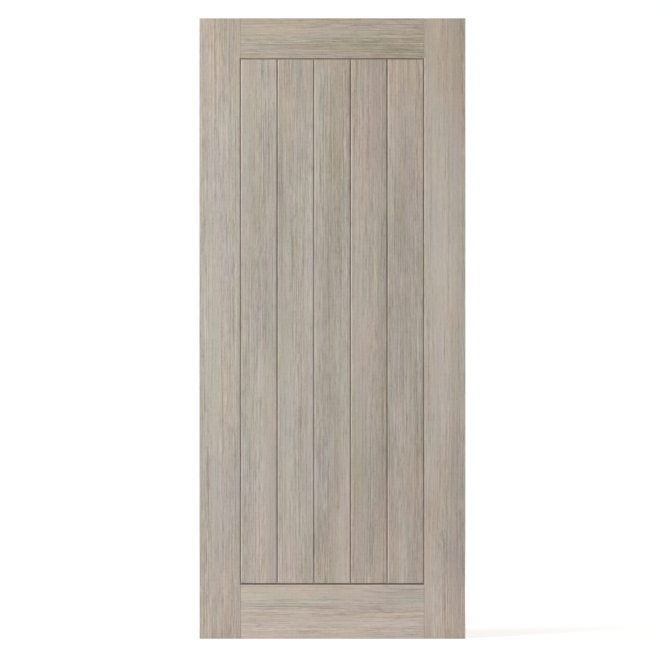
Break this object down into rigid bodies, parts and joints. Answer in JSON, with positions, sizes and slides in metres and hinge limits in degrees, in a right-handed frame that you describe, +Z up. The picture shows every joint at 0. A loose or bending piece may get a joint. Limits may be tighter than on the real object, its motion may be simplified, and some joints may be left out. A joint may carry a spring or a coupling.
{
  "type": "fire door leaf",
  "caption": "Solid-core door leaf in grey oak laminate: stile-and-rail frame round a flush panel of upright V-jointed boards, same on both faces.",
  "frame": {"origin": "on the left edge that the hinges fasten to, at the bottom end and the middle of the thickness", "axes": "+Z up the leaf, +X across its width away from the hinge edge, -Y out of the front face"},
  "size_m": [0.9, 0.044, 2.1],
  "materials": {
    "grey_oak_laminate": "matte",
    "softwood_core": "matte",
    "particleboard": "matte"
  },
  "bodies": {
    "root": {"left_stile_front_facing": "grey_oak_laminate", "left_stile_back_facing": "grey_oak_laminate", "right_stile_front_facing": "grey_oak_laminate", "right_stile_back_facing": "grey_oak_laminate", "top_rail_front_facing": "grey_oak_laminate", "top_rail_back_facing": "grey_oak_laminate", "bottom_rail_front_facing": "grey_oak_laminate", "bottom_rail_back_facing": "grey_oak_laminate", "front_board_1": "grey_oak_laminate", "front_board_2": "grey_oak_laminate", "front_board_3": "grey_oak_laminate", "front_board_4": "grey_oak_laminate", "front_board_5": "grey_oak_laminate", "back_board_1": "grey_oak_laminate", "back_board_2": "grey_oak_laminate", "back_board_3": "grey_oak_laminate", "back_board_4": "grey_oak_laminate", "back_board_5": "grey_oak_laminate", "left_lipping": "grey_oak_laminate", "right_lipping": "grey_oak_laminate", "left_stile_core": "softwood_core", "right_stile_core": "softwood_core", "top_rail_core": "softwood_core", "bottom_rail_core": "softwood_core", "panel_core": "particleboard"}
  },
  "joints": []
}
